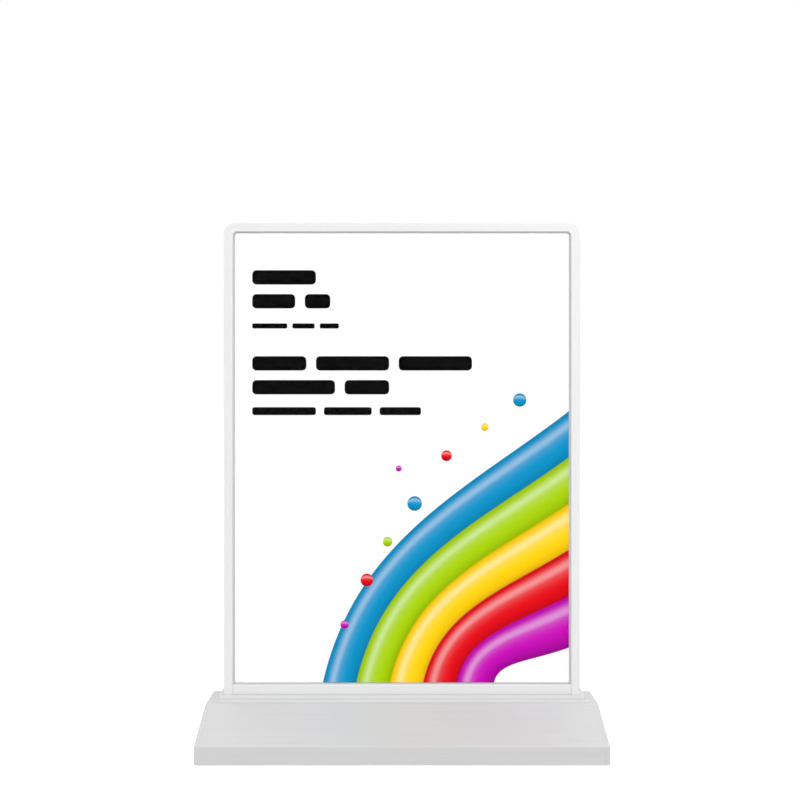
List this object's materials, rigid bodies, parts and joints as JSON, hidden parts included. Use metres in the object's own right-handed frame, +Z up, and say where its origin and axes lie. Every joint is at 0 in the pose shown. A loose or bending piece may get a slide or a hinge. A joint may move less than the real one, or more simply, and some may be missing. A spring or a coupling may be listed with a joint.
{
  "type": "advertising light box",
  "caption": "Free-standing desk light box: a framed, lit, double-sided sheet holder that stands in a slot in a long low base.",
  "frame": {"origin": "centre of the base on the surface that its rubber feet stand on", "axes": "+Z up, +X along the base to the right as seen from the front, -Y towards the front sheet's viewer"},
  "size_m": [0.2436, 0.09, 0.3244],
  "materials": {
    "base_metal": "satin anodised",
    "frame_metal": "pale satin anodised",
    "channel_metal": "mill",
    "collar_plastic": "silver-grey moulded",
    "plate_plastic": "grey moulded",
    "dark_plastic": "black moulded",
    "white_plastic": "white moulded",
    "diffuser": "opal sheet",
    "clear_acrylic": "clear, polished",
    "print_sheet": "backlit print",
    "seal_rubber": "dark grey, matt",
    "foot_rubber": "black, matt",
    "steel": "bright zinc plated",
    "circuit_board": "green solder mask",
    "cell_wrap": "blue shrink wrap",
    "lead_sheath": "red sheath"
  },
  "bodies": {
    "base": {"base_shell": "base_metal", "left_end_cap": "base_metal", "right_end_cap": "base_metal", "left_cap_screw_front": "steel", "left_cap_screw_rear": "steel", "right_cap_screw_front": "steel", "right_cap_screw_rear": "steel", "slot_collar": "collar_plastic", "bottom_plate": "plate_plastic", "bottom_screw_1": "steel", "bottom_screw_2": "steel", "bottom_screw_3": "steel", "bottom_screw_4": "steel", "rubber_foot_1": "foot_rubber", "rubber_foot_2": "foot_rubber", "rubber_foot_3": "foot_rubber", "rubber_foot_4": "foot_rubber", "front_ballast_bar": "steel", "rear_ballast_bar": "steel", "battery_tray": "dark_plastic", "battery_cell_1": "cell_wrap", "battery_cell_2": "cell_wrap", "control_board": "circuit_board", "board_screw_1": "steel", "board_screw_2": "steel", "usb_socket": "steel", "battery_plug": "white_plastic", "led_plug": "white_plastic", "battery_lead": "lead_sheath", "led_lead": "lead_sheath", "led_channel": "channel_metal", "led_strip": "white_plastic", "switch_body": "dark_plastic", "charge_light": "clear_acrylic"},
    "button": {"power_button": "white_plastic", "switch_plunger": "dark_plastic"},
    "panel": {"panel_rim": "frame_metal", "light_guide": "clear_acrylic", "front_diffuser": "diffuser", "rear_diffuser": "diffuser", "front_sheet": "print_sheet", "rear_sheet": "print_sheet", "front_bottom_bar": "frame_metal", "rear_bottom_bar": "frame_metal", "left_foot_screw": "steel", "right_foot_screw": "steel", "front_gasket": "seal_rubber", "rear_gasket": "seal_rubber"},
    "front_cover": {"front_cover": "clear_acrylic"},
    "rear_cover": {"rear_cover": "clear_acrylic"}
  },
  "joints": [
    {"name": "panel_lift", "type": "slide", "parent": "base", "child": "panel", "axis": [0, 0, 1], "range_m": [0, 0.02]},
    {"name": "front_cover_pull", "type": "slide", "parent": "panel", "child": "front_cover", "axis": [0, -1, 0], "range_m": [0, 0.03]},
    {"name": "rear_cover_pull", "type": "slide", "parent": "panel", "child": "rear_cover", "axis": [0, 1, 0], "range_m": [0, 0.03]},
    {"name": "button_press", "type": "slide", "parent": "base", "child": "button", "axis": [0, 0, -1], "range_m": [0, 0.0008], "stiffness_N_per_m": 300, "springref_m": -0.001}
  ]
}
